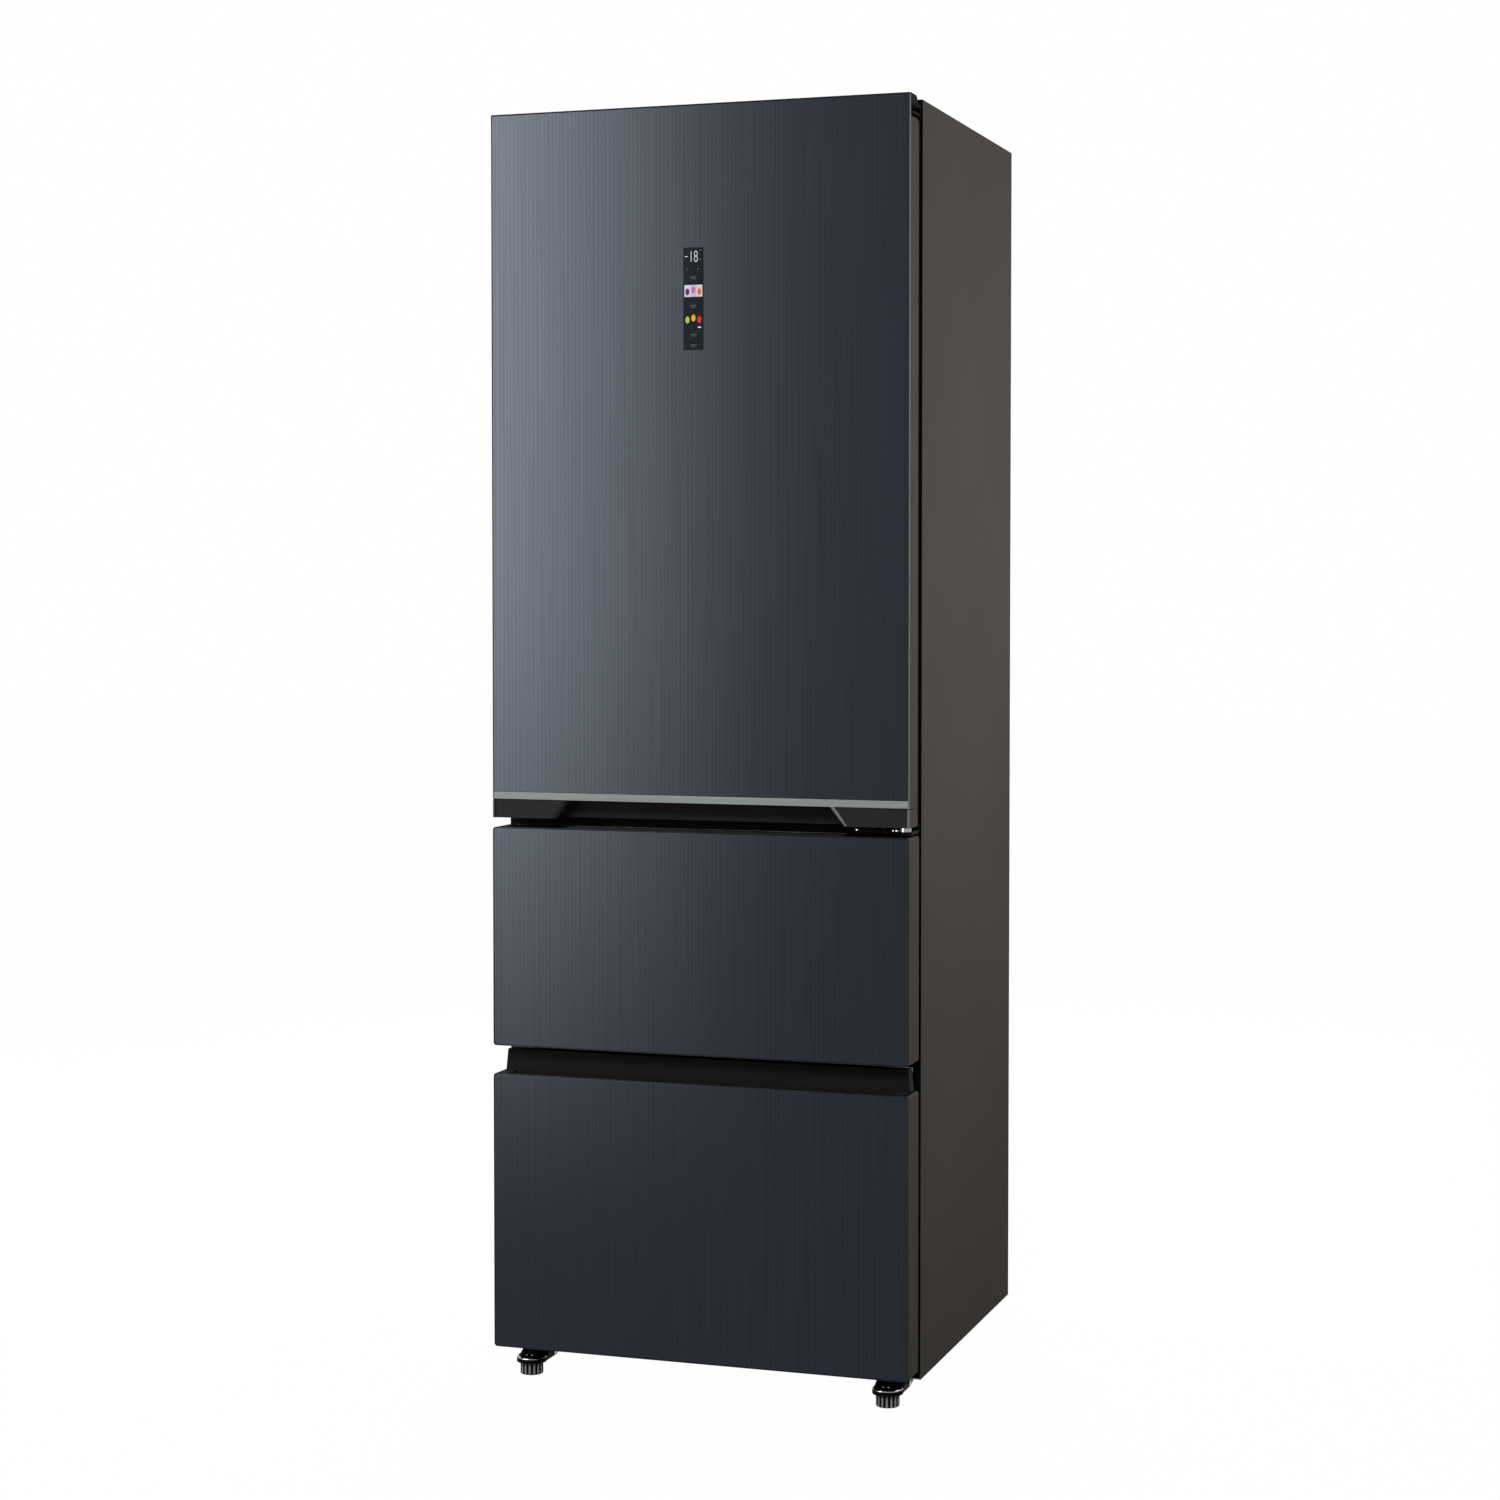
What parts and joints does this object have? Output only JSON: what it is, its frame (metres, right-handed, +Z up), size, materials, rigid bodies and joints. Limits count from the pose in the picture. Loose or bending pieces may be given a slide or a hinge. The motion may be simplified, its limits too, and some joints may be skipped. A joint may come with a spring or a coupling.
{
  "type": "fridge freezer",
  "caption": "Tall glass-fronted fridge freezer with a hinged fridge door above two full-width pull-out drawers, recessed grips and levelling feet.",
  "frame": {"origin": "on the floor, under the middle of the whole box", "axes": "+X to the right of someone facing the door, which is the hinge side; +Y to the back; +Z up"},
  "size_m": [0.595, 0.563, 1.741],
  "materials": {
    "graphite_steel": "satin",
    "front_glass": "gloss",
    "dark_moulding": "satin",
    "black_moulding": "satin",
    "trim_aluminium": "satin",
    "liner_white": "satin",
    "clear_plastic": "gloss",
    "shelf_glass": "gloss",
    "silver_trim": "satin",
    "gasket_rubber": "matte",
    "zinc_steel": "satin",
    "black_steel": "satin",
    "galvanised_steel": "satin",
    "foam": "matte",
    "fin_aluminium": "satin",
    "compressor_black": "satin",
    "lamp_diffuser": "satin",
    "circuit_board": "satin",
    "foot_plastic": "satin",
    "roller_plastic": "satin"
  },
  "bodies": {
    "cabinet": {"cabinet_wrapper": "graphite_steel", "rear_panel": "graphite_steel", "base_pan": "galvanised_steel", "front_frame": "graphite_steel", "insulation_foam": "foam", "fridge_liner": "liner_white", "middle_liner": "liner_white", "lower_liner": "liner_white", "shelf_glasses": "shelf_glass", "shelf_trims": "silver_trim", "air_duct_cover": "liner_white", "fridge_lamp": "lamp_diffuser", "evaporator": "fin_aluminium", "evaporator_cover": "liner_white", "fan_motor": "black_moulding", "compressor": "compressor_black", "compressor_grommets": "gasket_rubber", "drip_tray": "liner_white", "control_box": "black_moulding", "machine_cover": "black_moulding", "drawer_fixed_rails": "zinc_steel", "top_hinge": "black_steel", "middle_hinge": "black_steel", "hinge_screws": "zinc_steel", "foot_brackets": "black_steel", "roller_axles": "zinc_steel"},
    "fridge_door": {"door_glass": "front_glass", "door_side_profiles": "graphite_steel", "door_top_cap": "dark_moulding", "door_handle_cap": "black_moulding", "door_trim_strip": "trim_aluminium", "door_foam": "foam", "door_inner_liner": "liner_white", "door_gasket": "gasket_rubber", "door_hinge_bushes": "roller_plastic", "display_board": "circuit_board", "door_bins": "clear_plastic"},
    "middle_drawer": {"middle_glass": "front_glass", "middle_front_frame": "dark_moulding", "middle_front_foam": "foam", "middle_inner_panel": "liner_white", "middle_gasket": "gasket_rubber", "middle_basket": "clear_plastic", "middle_moving_rails": "zinc_steel"},
    "lower_drawer": {"lower_glass": "front_glass", "lower_front_frame": "dark_moulding", "lower_front_foam": "foam", "lower_inner_panel": "liner_white", "lower_gasket": "gasket_rubber", "lower_basket": "clear_plastic", "lower_moving_rails": "zinc_steel", "lower_grip_profile": "black_moulding"},
    "middle_slides": {"middle_slide_rails": "zinc_steel"},
    "lower_slides": {"lower_slide_rails": "zinc_steel"},
    "crisper": {"crisper": "clear_plastic"},
    "evaporator_fan": {"evaporator_fan": "black_moulding"},
    "front_foot_left": {"front_foot_left": "foot_plastic"},
    "front_foot_right": {"front_foot_right": "foot_plastic"},
    "rear_roller_left": {"rear_roller_left": "roller_plastic"},
    "rear_roller_right": {"rear_roller_right": "roller_plastic"}
  },
  "joints": [
    {"name": "fridge_door_swing", "type": "hinge", "parent": "cabinet", "child": "fridge_door", "pos_m": [0.2855, -0.2555, 1.2], "axis": [0, 0, 1], "range_deg": [0, 110]},
    {"name": "middle_drawer_slide", "type": "slide", "parent": "cabinet", "child": "middle_drawer", "axis": [0, -1, 0], "range_m": [0, 0.38]},
    {"name": "lower_drawer_slide", "type": "slide", "parent": "cabinet", "child": "lower_drawer", "axis": [0, -1, 0], "range_m": [0, 0.33]},
    {"name": "middle_rails_slide", "type": "slide", "parent": "cabinet", "child": "middle_slides", "axis": [0, -1, 0], "range_m": [0, 0.19]},
    {"name": "lower_rails_slide", "type": "slide", "parent": "cabinet", "child": "lower_slides", "axis": [0, -1, 0], "range_m": [0, 0.165]},
    {"name": "crisper_slide", "type": "slide", "parent": "cabinet", "child": "crisper", "axis": [0, -1, 0], "range_m": [0, 0.07]},
    {"name": "evaporator_fan_spin", "type": "hinge", "parent": "cabinet", "child": "evaporator_fan", "pos_m": [0.15, 0.1925, 0.363], "axis": [0, -1, 0], "continuous": true},
    {"name": "left_foot_screw", "type": "hinge", "parent": "cabinet", "child": "front_foot_left", "pos_m": [-0.258, -0.2415, 0], "axis": [0, 0, 1], "continuous": true},
    {"name": "right_foot_screw", "type": "hinge", "parent": "cabinet", "child": "front_foot_right", "pos_m": [0.258, -0.2415, 0], "axis": [0, 0, 1], "continuous": true},
    {"name": "left_roller_spin", "type": "hinge", "parent": "cabinet", "child": "rear_roller_left", "pos_m": [-0.2295, 0.2365, 0.015], "axis": [1, 0, 0], "continuous": true},
    {"name": "right_roller_spin", "type": "hinge", "parent": "cabinet", "child": "rear_roller_right", "pos_m": [0.2295, 0.2365, 0.015], "axis": [1, 0, 0], "continuous": true}
  ],
  "couplings": [
    {"joint": "middle_rails_slide", "follows": "middle_drawer_slide", "ratio": 0.5},
    {"joint": "lower_rails_slide", "follows": "lower_drawer_slide", "ratio": 0.5}
  ]
}
